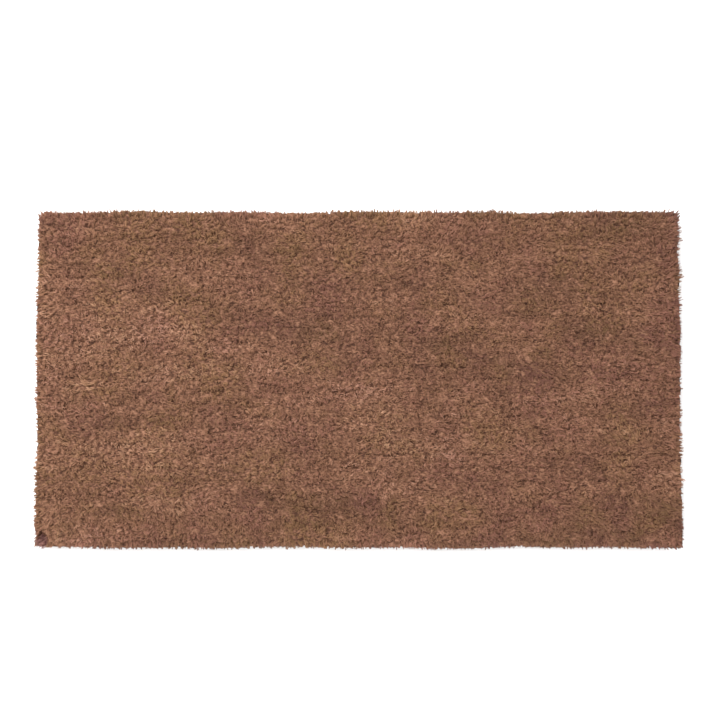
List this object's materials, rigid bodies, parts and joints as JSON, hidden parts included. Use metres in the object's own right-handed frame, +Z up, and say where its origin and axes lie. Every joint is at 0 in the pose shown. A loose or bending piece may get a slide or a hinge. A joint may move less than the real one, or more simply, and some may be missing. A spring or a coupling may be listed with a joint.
{
  "type": "door mat",
  "caption": "Hand-woven coir door mat with a thick brush pile in rows, a cord ground and a plaited edge, for wiping shoes.",
  "frame": {"origin": "on the floor, under the centre of the mat", "axes": "+X along the long side, towards the right in plan; +Y along the short side, towards the back; +Z up through the pile"},
  "size_m": [0.758, 0.396, 0.03],
  "materials": {
    "pile": "matte",
    "ground": "matte",
    "weft": "matte",
    "braid": "matte",
    "knot": "matte"
  },
  "bodies": {
    "root": {"corner_knot": "knot", "edge_braid_back": "braid", "edge_braid_front": "braid", "edge_braid_left": "braid", "edge_braid_right": "braid", "pile_row_01": "pile", "pile_row_02": "pile", "pile_row_03": "pile", "pile_row_04": "pile", "pile_row_05": "pile", "pile_row_06": "pile", "pile_row_07": "pile", "pile_row_08": "pile", "pile_row_09": "pile", "pile_row_10": "pile", "pile_row_11": "pile", "pile_row_12": "pile", "pile_row_13": "pile", "pile_row_14": "pile", "pile_row_15": "pile", "pile_row_16": "pile", "pile_row_17": "pile", "pile_row_18": "pile", "pile_row_19": "pile", "pile_row_20": "pile", "pile_row_21": "pile", "pile_row_22": "pile", "pile_row_23": "pile", "pile_row_24": "pile", "warp_layer": "ground", "weft_cord_01": "weft", "weft_cord_02": "weft", "weft_cord_03": "weft", "weft_cord_04": "weft", "weft_cord_05": "weft", "weft_cord_06": "weft", "weft_cord_07": "weft", "weft_cord_08": "weft", "weft_cord_09": "weft", "weft_cord_10": "weft", "weft_cord_11": "weft", "weft_cord_12": "weft", "weft_cord_13": "weft", "weft_cord_14": "weft", "weft_cord_15": "weft", "weft_cord_16": "weft", "weft_cord_17": "weft", "weft_cord_18": "weft", "weft_cord_19": "weft", "weft_cord_20": "weft", "weft_cord_21": "weft", "weft_cord_22": "weft", "weft_cord_23": "weft", "weft_cord_24": "weft", "weft_cord_25": "weft"}
  },
  "joints": []
}
